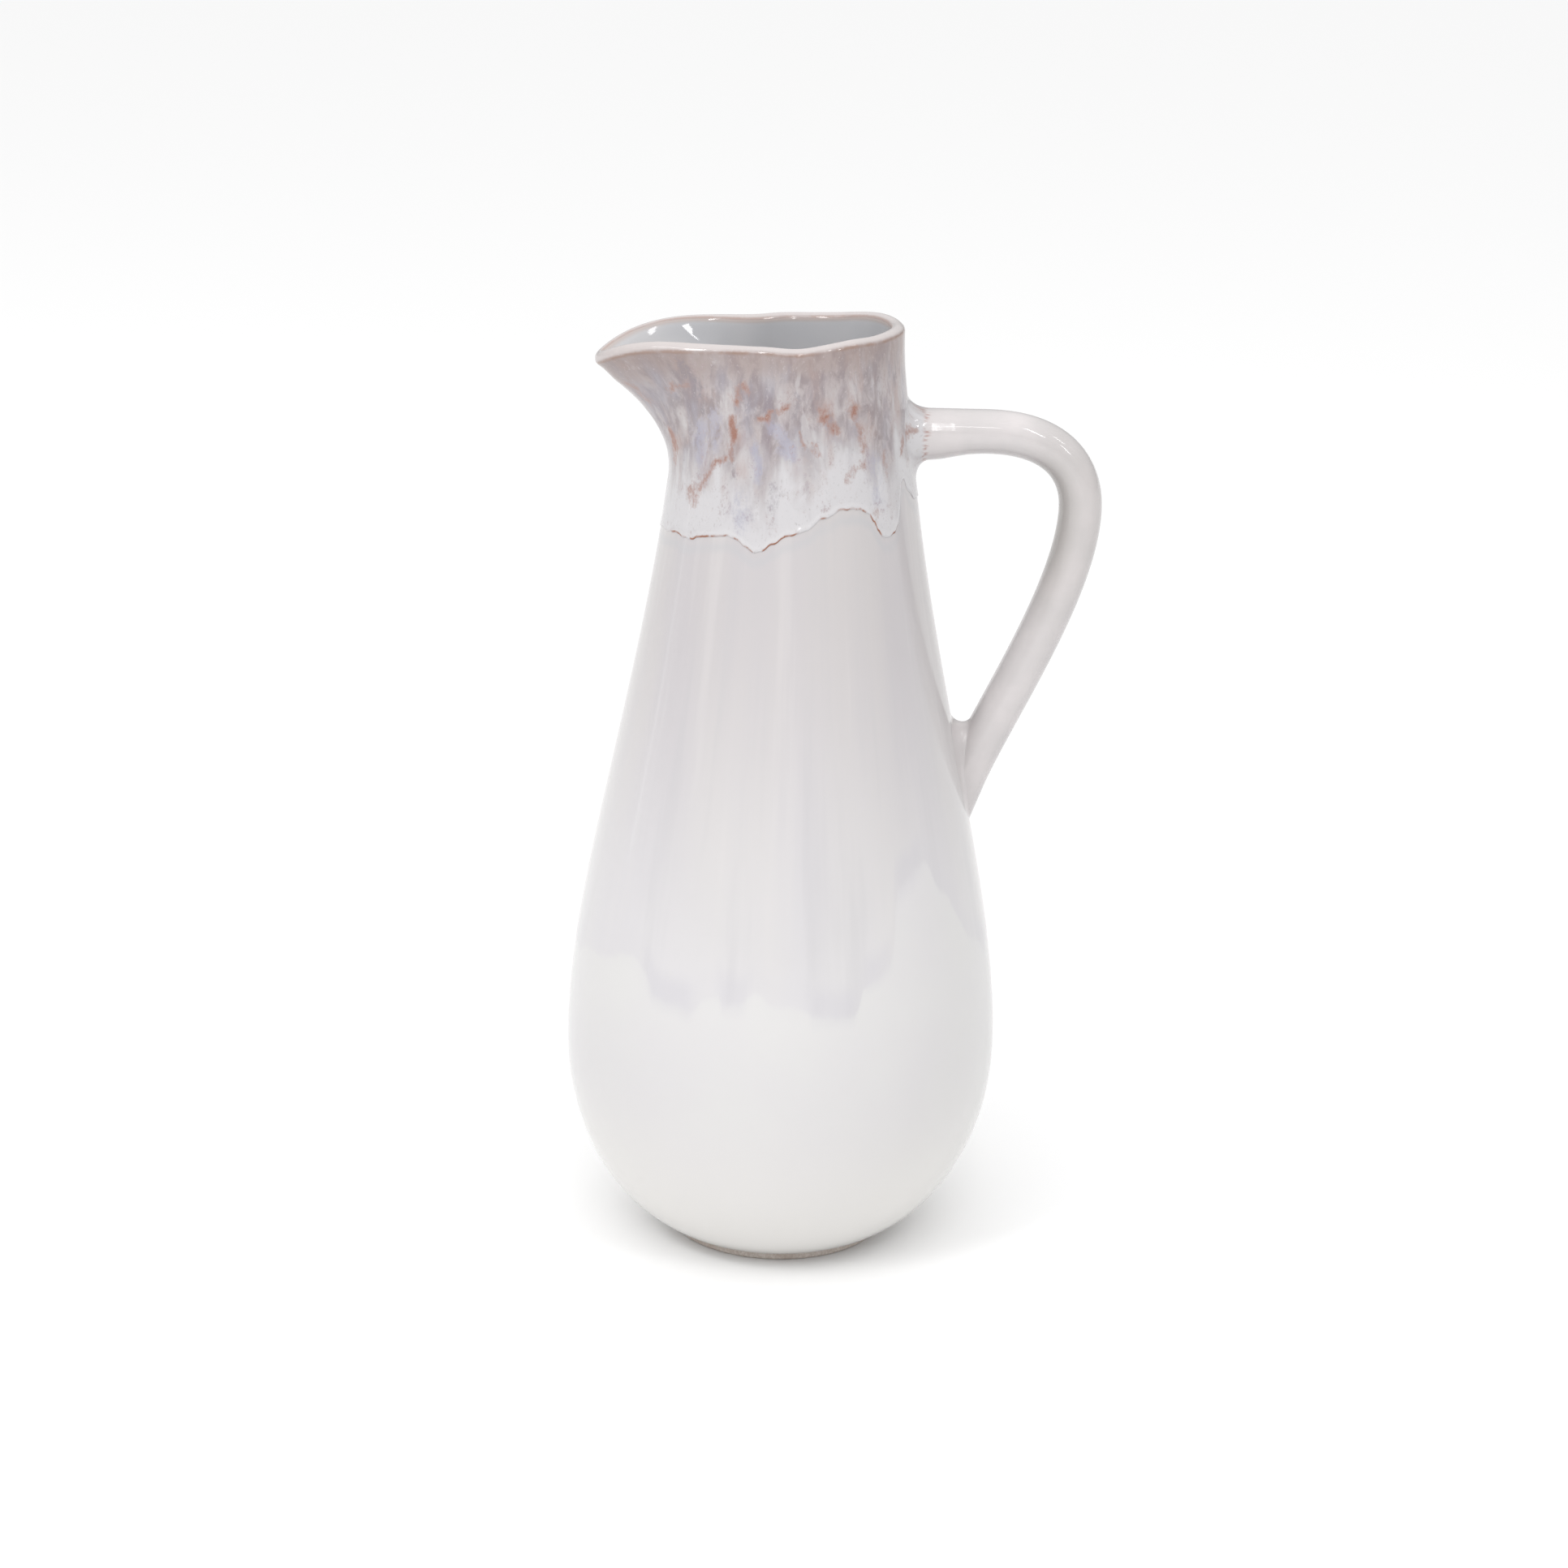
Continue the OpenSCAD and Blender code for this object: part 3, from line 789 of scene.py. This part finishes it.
def keep_glaze_values(piece, co, hem, crest, dip):
    """Keeps with each vertex what the glazes read: where it lies and what marks are near."""
    turn = np.radians(direction(co))
    flow = np.stack([NECK_R * np.cos(turn), NECK_R * np.sin(turn), co[:, 2]], -1) * MM
    keep(piece, "flow", flow)
    keep(piece, "hem", hem * MM)
    keep(piece, "crest", crest * MM)
    keep(piece, "dip", dip * MM)
    keep(piece, "rust", mark_field(co, RUST))
    keep(piece, "slate", mark_field(co, SLATE))
    keep(piece, "lavender", mark_field(co, LAVENDER))
    keep(piece, "pool", lookup(direction(co), DIP_POOL))
    keep(piece, "hemrust", np.minimum(lookup(direction(co), HEM_RUST), 1.0))
    keep(piece, "strap", smooth(co[:, 0], 37.0, 44.0))


# ---------------------------------------------------------------- the pieces


def make_body(glazes):
    """The thrown wall and its floor. The outline runs from under the floor, up the outside,
    over the lip and down the inside, and the spout is then pulled out of it."""
    rows = [("level", r, FOOT_H) for r in (0, 9, 18, 27, BASE_R - 1.2)]
    rows.append(("level", BASE_R - 0.4, FOOT_H + 0.12))
    steps = [(LOW_CURVE, LOW_ROWS), (SHOULDER_CURVE, SHOULDER_ROWS), (COLLAR_CURVE, COLLAR_ROWS)]
    heights = np.concatenate([bezier(c, np.arange(n) / n)[:, 1] for c, n in steps])
    heights = [h for h in heights if h > FOOT_H + 0.3] + [TOP_H]
    rows += [("wall", h, 0) for h in heights]
    rows += [("lip", 180 * i / LIP_ROWS, 0) for i in range(1, LIP_ROWS)]
    inner = [h for i, h in enumerate(reversed(heights)) if i < COLLAR_ROWS or i % 2 == 0]
    rows += [("inside", h, 0) for h in inner if h > FOOT_H + 2.5]
    rows += [("level", r, FLOOR_H) for r in (BASE_R - WALL_T, 24, 16, 8, 0)]

    def wall_at(h):
        return WALL_T - (WALL_T - LIP_T) * smooth(h, NECK_H, TOP_H)

    outline = []
    for kind, a, b in rows:
        if kind == "level":
            outline.append((a, b))
        elif kind == "wall":
            outline.append((float(wall_r(a)), a))
        elif kind == "lip":
            turn = math.radians(a)
            outline.append((MOUTH_R - LIP_R * (1 - math.cos(turn)), TOP_H + LIP_R * math.sin(turn)))
        else:
            out = outward(0.0, a)
            off = float(wall_at(a))
            outline.append((float(wall_r(a)) - off * out[0], a - off * out[2]))
    body = thrown("thrown_body", outline, BODY_SIDES)

    co = places(body)
    row = numbers(body, "row")
    angle = direction(co)
    kinds = np.array([r[0] for r in rows])[row]
    first = np.array([float(r[1]) for r in rows])[row]

    crest = np.full(len(co), -1000.0)
    outer = kinds == "wall"
    co[outer] = skin(angle[outer], first[outer], 0.0)
    crest[outer] = -(TOP_H - first[outer]) - LIP_R * math.pi / 2
    lip = kinds == "lip"
    turn = np.radians(first[lip])
    crest[lip] = LIP_R * (turn - math.pi / 2)
    co[lip] = skin(angle[lip], TOP_H, -LIP_R * (1 - np.cos(turn)))
    co[lip] += lip_way(angle[lip]) * (LIP_R * np.sin(turn))[:, None]
    inside = kinds == "inside"
    crest[inside] = (TOP_H - first[inside]) + LIP_R * math.pi / 2
    co[inside] = skin(angle[inside], first[inside], -wall_at(first[inside]))
    set_places(body, co)

    hem = co[:, 2] - hem_h(direction(co))
    dip = co[:, 2] - lookup(direction(co), DIP_EDGE)
    keep_glaze_values(body, co, hem, crest, dip)

    last_inside = len(rows) - 5
    for face in body.data.polygons:
        highest = max(row[i] for i in face.vertices)
        kind = rows[highest][0]
        if kind == "lip":
            face.material_index = 1
        elif kind == "inside" or highest >= last_inside:
            face.material_index = 2
    hand_in(body, glazes, "body_glaze", "body")


def make_neck_glaze(glazes):
    """The neck's coat: a skin of glaze from its hem up over the edge of the lip, with a bead
    along the hem and slow runs down its face."""
    hem_steps = [0, 0.06, 0.16, 0.3, 0.5, 0.75, 1.05, 1.4, 1.9, 2.6, 3.5]
    rise_rows = 46
    lip_rows = 7
    lip_end = 62
    under = 10
    rows = [("hem", d) for d in hem_steps]
    rows += [("rise", (i + 1) / rise_rows) for i in range(rise_rows)]
    rows += [("lip", lip_end * (i + 1) / lip_rows) for i in range(lip_rows)]
    rows += [("under", 1 - i / under) for i in range(under + 1)]
    hem_guess = 240.0
    outline = []
    for kind, a in rows:
        share = {"hem": 0.0, "rise": a, "lip": 1.0, "under": a}[kind]
        lift = a if kind == "hem" else hem_steps[-1]
        h = hem_guess + lift + (TOP_H - hem_guess - lift) * share
        r = float(wall_r(h)) + (-0.5 if kind == "under" else 0.5)
        if kind == "lip":
            h += a * 0.02
        outline.append((r, h))
    outline.append(outline[0])
    coat = thrown("collar_coat", outline, COAT_SIDES)

    co = places(coat)
    row = numbers(coat, "row") % len(rows)
    angle = direction(co)
    kinds = np.array([r[0] for r in rows])[row]
    first = np.array([float(r[1]) for r in rows])[row]
    low = hem_h(angle)
    above = np.where(kinds == "hem", first, hem_steps[-1])
    share = np.where(kinds == "rise", first, 0.0)
    share = np.where(kinds == "lip", 1.0, share)
    h = low + above + (TOP_H - low - above) * share
    under_it = kinds == "under"
    h[under_it] = (low + (TOP_H - low) * first)[under_it]
    turn = np.where(kinds == "lip", np.radians(first), 0.0)

    # Thickness: a rounded bead at the hem, then a thinner skin that swells where it has run
    up = h - low
    skin_t = coat_t(angle, h)
    bead = 0.12 * np.exp(-(((up - 0.9) / 0.8) ** 2))
    edge = 0.5
    rounding = np.sqrt(np.clip(1 - (1 - np.clip(up / edge, 0, 1)) ** 2, 0, 1))
    thick = (skin_t + bead) * rounding
    thick = thick * (1 - smooth(turn, math.radians(5), math.radians(lip_end)) * 1.08)
    thick = np.where(under_it, -0.15, thick)
    thick = np.where((kinds == "hem") & (first == 0), -0.05, thick)

    co = skin(angle, h, thick - (LIP_R + thick) * (1 - np.cos(turn)))
    co += lip_way(angle) * ((LIP_R + thick) * np.sin(turn))[:, None]
    set_places(coat, co)
    crest = -(TOP_H - h) - LIP_R * (math.pi / 2 - turn)
    keep_glaze_values(coat, co, co[:, 2] - hem_h(direction(co)), crest, np.full(len(co), 99.0))
    hand_in(coat, glazes, "collar_glaze", "neck_glaze")


BEND_CURVE = [
    (ARM_X - BEND_RUN, ARM_Z),
    (ARM_X - BEND_RUN * 0.23, ARM_Z),
    (ARM_X, BEND_Z + BEND_DROP * 0.49),
    (ARM_X, BEND_Z),
]
TAIL_X = float(wall_r(TAIL_Z))
ARM_CURVE = [
    (ARM_X, BEND_Z),
    (ARM_X, BEND_Z - FALL * 0.3),
    (TAIL_X + 0.37 * FALL * 0.235, TAIL_Z + FALL * 0.235),
    (TAIL_X, TAIL_Z),
]
UPPER_X = float(wall_r(ARM_Z)) + UPPER_JOIN_L
JOIN_SHARE = 1 - LOWER_JOIN_L / math.hypot(ARM_X - TAIL_X, FALL)


def heading(curve, share):
    """Direction of a stretch of the strap's middle line."""
    run = bezier(curve, min(share + 0.01, 1.0)) - bezier(curve, max(share - 0.01, 0.0))
    return run / np.linalg.norm(run)


def section_turns():
    return np.radians(np.arange(STRAP_SIDES) * 360 / STRAP_SIDES)


def strap_ring(centre, along):
    """The strap's section round a point of its middle line: a flattened, squared-off oval,
    a little heavier below where the upper arm nears the wall."""
    turn = np.radians(np.arange(STRAP_SIDES) * 360 / STRAP_SIDES)
    across = np.sign(np.cos(turn)) * np.abs(np.cos(turn)) ** STRAP_SQUARE * STRAP_W / 2
    through = np.sign(np.sin(turn)) * np.abs(np.sin(turn)) ** STRAP_SQUARE * STRAP_T / 2
    heavy = 2.4 * smooth(62 - centre[0], 0, 20) ** 1.6 if centre[1] > ARM_Z - 1 else 0.0
    through = through - heavy * np.clip(-np.sin(turn), 0, 1)
    x = centre[0] - along[1] * through
    z = centre[1] + along[0] * through
    return np.stack([x, across, z], -1)


def pale_lap(co):
    """Height above the hem that the neck's coat looks like where it laps the handle."""
    return 12 + 0.4 * (co[:, 2] - ARM_Z)


def make_handle(glazes):
    """The pulled strap between its two joins."""
    rings = []
    level_steps = 10
    bend_steps = 34
    arm_steps = 52
    for i in range(level_steps):
        x = UPPER_X + (ARM_X - BEND_RUN - UPPER_X) * i / level_steps
        rings.append(strap_ring((x, ARM_Z), (1, 0)))
    for i in range(bend_steps):
        at = i / bend_steps
        rings.append(strap_ring(bezier(BEND_CURVE, at), heading(BEND_CURVE, at)))
    for i in range(arm_steps + 1):
        at = JOIN_SHARE * i / arm_steps
        rings.append(strap_ring(bezier(ARM_CURVE, at), heading(ARM_CURVE, at)))
    handle = drawn_out("pulled_handle", rings)
    co = places(handle)
    keep_glaze_values(handle, co, pale_lap(co), co[:, 2] - RIM_H, co[:, 2])
    # Painted shade inside the bend, strongest on the strap's underside
    under = np.clip(-np.sin(section_turns()), 0, 1)[numbers(handle, "column") % STRAP_SIDES]
    in_bend = smooth(co[:, 0], ARM_X - BEND_RUN * 0.75, ARM_X - 6) * smooth(co[:, 2], 185, 235)
    keep(handle, "bend_shade", in_bend * (0.3 + 0.7 * under))
    for face in handle.data.polygons:
        if face.center.x < LAP_X * MM and face.center.z > BEND_Z * MM:
            face.material_index = 1
    hand_in(handle, glazes, "body_glaze", "handle")


def on_wall(y, z, off):
    """A point of the glazed wall behind the handle, from its place across and its height."""
    return skin(np.degrees(np.arcsin(y / wall_r(z))), z, off)


def fillet(start, corner, end, hug, share):
    """Point along the soft curve from a strap's face round into the wall."""
    a = start + (corner - start) * hug
    b = end + (corner - end) * hug
    return (
        (1 - share) ** 3 * start
        + 3 * (1 - share) ** 2 * share * a
        + 3 * (1 - share) * share**2 * b
        + share**3 * end
    )


def make_upper_join(glazes):
    """Clay luted between the strap's arm and the neck, smoothed into a hollow curve."""
    turn = section_turns()
    start = strap_ring((UPPER_X, ARM_Z), (1, 0))
    before = strap_ring((UPPER_X + 0.5, ARM_Z), (1, 0))
    toward = (start - before) / 0.5
    up = np.sin(turn)
    flare = 4.0 + 0.9 * np.clip(up, 0, 1) + 2.6 * np.clip(-up, 0, 1)
    reach = start[:, 0] - on_wall(start[:, 1], start[:, 2], COAT_T)[:, 0]
    corner = start + toward * reach[:, None]
    y = corner[:, 1] + flare * np.cos(turn)
    z = corner[:, 2] + flare * up
    on_coat = coat_t(np.degrees(np.arcsin(y / wall_r(z))), z)
    end = on_wall(y, z, on_coat - 0.04)
    steps = 20
    rings = [fillet(start, corner, end, 0.58, i / steps) for i in range(steps + 1)]
    rings.append(on_wall(y, z, -1.0))
    join = drawn_out("luted_upper_join", rings)
    co = places(join)
    keep_glaze_values(join, co, pale_lap(co), co[:, 2] - RIM_H, co[:, 2])
    hand_in(join, glazes, "body_glaze", "upper_handle_join")


def make_lower_join(glazes):
    """Clay luted between the strap's tail and the shoulder: a rounded crotch above, soft
    fillets down both sides, and an outer edge that runs straight into the wall."""
    turn = section_turns()
    last_way = heading(ARM_CURVE, 1.0)
    length = LOWER_JOIN_L / (1 - JOIN_SHARE)

    def ring_at(at):
        if at <= 1:
            return strap_ring(bezier(ARM_CURVE, at), heading(ARM_CURVE, at))
        return strap_ring(bezier(ARM_CURVE, 1.0) + last_way * (at - 1) * length, last_way)

    # Follow each line of the strap down until it meets the wall
    trial = np.linspace(JOIN_SHARE, 1.35, 400)
    tracks = np.stack([ring_at(at) for at in trial])
    columns = np.arange(STRAP_SIDES)
    depth = np.hypot(tracks[..., 0], tracks[..., 1]) - wall_r(tracks[..., 2]) + SKIN_IN
    hit = np.argmax(depth < 0, axis=0)
    corner = tracks[hit, columns]

    # The hollow reaches furthest up the crotch, less down the sides, and not at all outside
    inner = np.clip(-np.sin(turn), 0, 1) ** 2
    outer = np.clip(np.sin(turn), 0, 1)
    flare = 3.4 + 7.5 * inner - 3.2 * outer
    hug = 0.56 - 0.25 * inner
    spacing = length * (trial[1] - trial[0])
    back = np.maximum(hit - np.round(flare / spacing).astype(int), 1)
    leave = tracks[back, columns]
    y = corner[:, 1] + flare * np.cos(turn)
    z = corner[:, 2] - flare * np.sin(turn)
    end = on_wall(y, z, -0.04)
    straight = 18
    bend = 14
    rings = []
    for i in range(straight):
        at = back * i / straight
        whole = np.floor(at).astype(int)
        part = (at - whole)[:, None]
        rings.append(tracks[whole, columns] * (1 - part) + tracks[whole + 1, columns] * part)
    rings += [fillet(leave, corner, end, hug[:, None], i / bend) for i in range(bend + 1)]
    rings.append(on_wall(y, z, -1.5))
    join = drawn_out("luted_lower_join", rings)
    hand_in(join, glazes, "body_glaze", "lower_handle_join")


def make_foot_ring(glazes):
    """Bare ring of clay that the pitcher stands on, with its edges worn round."""
    inner_r = FOOT_R - 0.8 - FOOT_W
    outline = [
        (inner_r, 0.5),
        (inner_r + 0.15, 0.15),
        (inner_r + 0.5, 0),
        (inner_r + 2.5, 0),
        (inner_r + 5, 0),
        (FOOT_R - 1.1, 0),
        (FOOT_R - 0.5, 0.18),
        (FOOT_R - 0.12, 0.6),
        (FOOT_R, 1.1),
        (FOOT_R, FOOT_H + 0.4),
        (inner_r, FOOT_H + 0.4),
        (inner_r, 0.5),
    ]
    ring = thrown("bare_foot_ring", outline, 192)
    co = places(ring)
    rough = uneven(co, 2.2, 4.0)[:, None] * (0.12, 0.12, 0)
    set_places(ring, co + rough * (co[:, 2:] > 0.05))
    hand_in(ring, glazes, "bare_stoneware", "foot_ring", sharp=60)


white = white_glaze()
strap = strap_glaze()
collar = collar_glaze()
liner = liner_glaze()
clay = bare_clay()

make_body([white, collar, liner])
make_neck_glaze([collar])
make_handle([strap, collar])
make_upper_join([collar])
make_lower_join([strap])
make_foot_ring([clay])

# ---------------------------------------------------------------- studio

SKY_LOW = 0.41
SKY_HIGH = 1.45
CAMERA_AT = (-0.0005, -1.050, 0.4743)
CAMERA_DOWN = 0.299
CAMERA_TILT = 0.022
CAMERA_LENS = 78.67


def set_camera():
    start_clean()
    bpy.ops.object.camera_add(location=CAMERA_AT)
    camera = bpy.context.object
    camera.name = "camera"
    camera.data.sensor_width = 36
    camera.data.lens = CAMERA_LENS
    camera.data.clip_start = 0.05
    camera.data.clip_end = 60
    look = Vector((0, math.cos(CAMERA_DOWN), -math.sin(CAMERA_DOWN)))
    turned = look.to_track_quat("-Z", "Y").to_matrix() @ Matrix.Rotation(CAMERA_TILT, 3, "Z")
    camera.rotation_euler = turned.to_euler()
    bpy.context.scene.camera = camera


def softbox(name, place, aim, size, power, tint="ffffff"):
    """A flat studio light that faces a point."""
    bpy.ops.object.light_add(type="AREA", location=place)
    lamp = bpy.context.object
    lamp.name = name
    lamp.data.shape = "RECTANGLE"
    lamp.data.size, lamp.data.size_y = size
    lamp.data.energy = power
    lamp.data.color = colour(tint)[:3]
    way = Vector(aim) - Vector(place)
    lamp.rotation_euler = way.to_track_quat("-Z", "Y").to_euler()
    return lamp


def set_studio():
    start_clean()
    bpy.ops.mesh.primitive_plane_add(size=60, location=(0, 0, 0))
    floor = bpy.context.object
    floor.name = "floor"
    finish, tree, shader = new_finish("pale_studio_floor")
    shader.inputs["Base Color"].default_value = colour("ededed")
    shader.inputs["Roughness"].default_value = 0.9
    shader.inputs["Specular IOR Level"].default_value = 0.0
    floor.data.materials.append(finish)

    # Sky that is brighter overhead than round the horizon
    world = bpy.data.worlds.new("studio")
    bpy.context.scene.world = world
    world.use_nodes = True
    tree = world.node_tree
    sky = tree.nodes["Background"]
    way = add(tree, "TexCoord", {}, out="Generated")
    up = add(tree, "SeparateXYZ", {0: way}, out="Z")
    bright = add(tree, "MapRange", {0: up, 1: 0.0, 2: 1.0, 3: SKY_LOW, 4: SKY_HIGH})
    tree.links.new(bright, sky.inputs["Strength"])
    sky.inputs["Color"].default_value = (1, 1, 1, 1)

    softbox("front_window", (0.07, -1.35, 1.16), (0.05, 0, 0.27), (0.10, 1.4), 3.2)
    softbox("left_window", (-1.0, -1.15, 1.3), (0, 0, 0.25), (0.33, 0.75), 8.0)
    softbox("long_window", (-0.72, -1.07, 1.46), (0, 0, 0.29), (2.4, 0.10), 6.0)
    softbox("bend_window", (0.58, -0.99, 1.33), (0.08, 0, 0.27), (0.08, 0.5), 1.7)
    softbox("side_window", (0.93, -0.92, 0.92), (0.08, 0, 0.27), (0.10, 0.24), 1.1)
    softbox("right_window", (1.08, -0.44, 1.42), (0, 0, 0.29), (0.10, 0.28), 0.8)
    softbox("side_strip", (-1.5, 0.35, 0.6), (0, 0, 0.2), (0.06, 1.4), 0.22)


set_camera()
set_studio()
scene = bpy.context.scene
scene.view_settings.view_transform = "Standard"
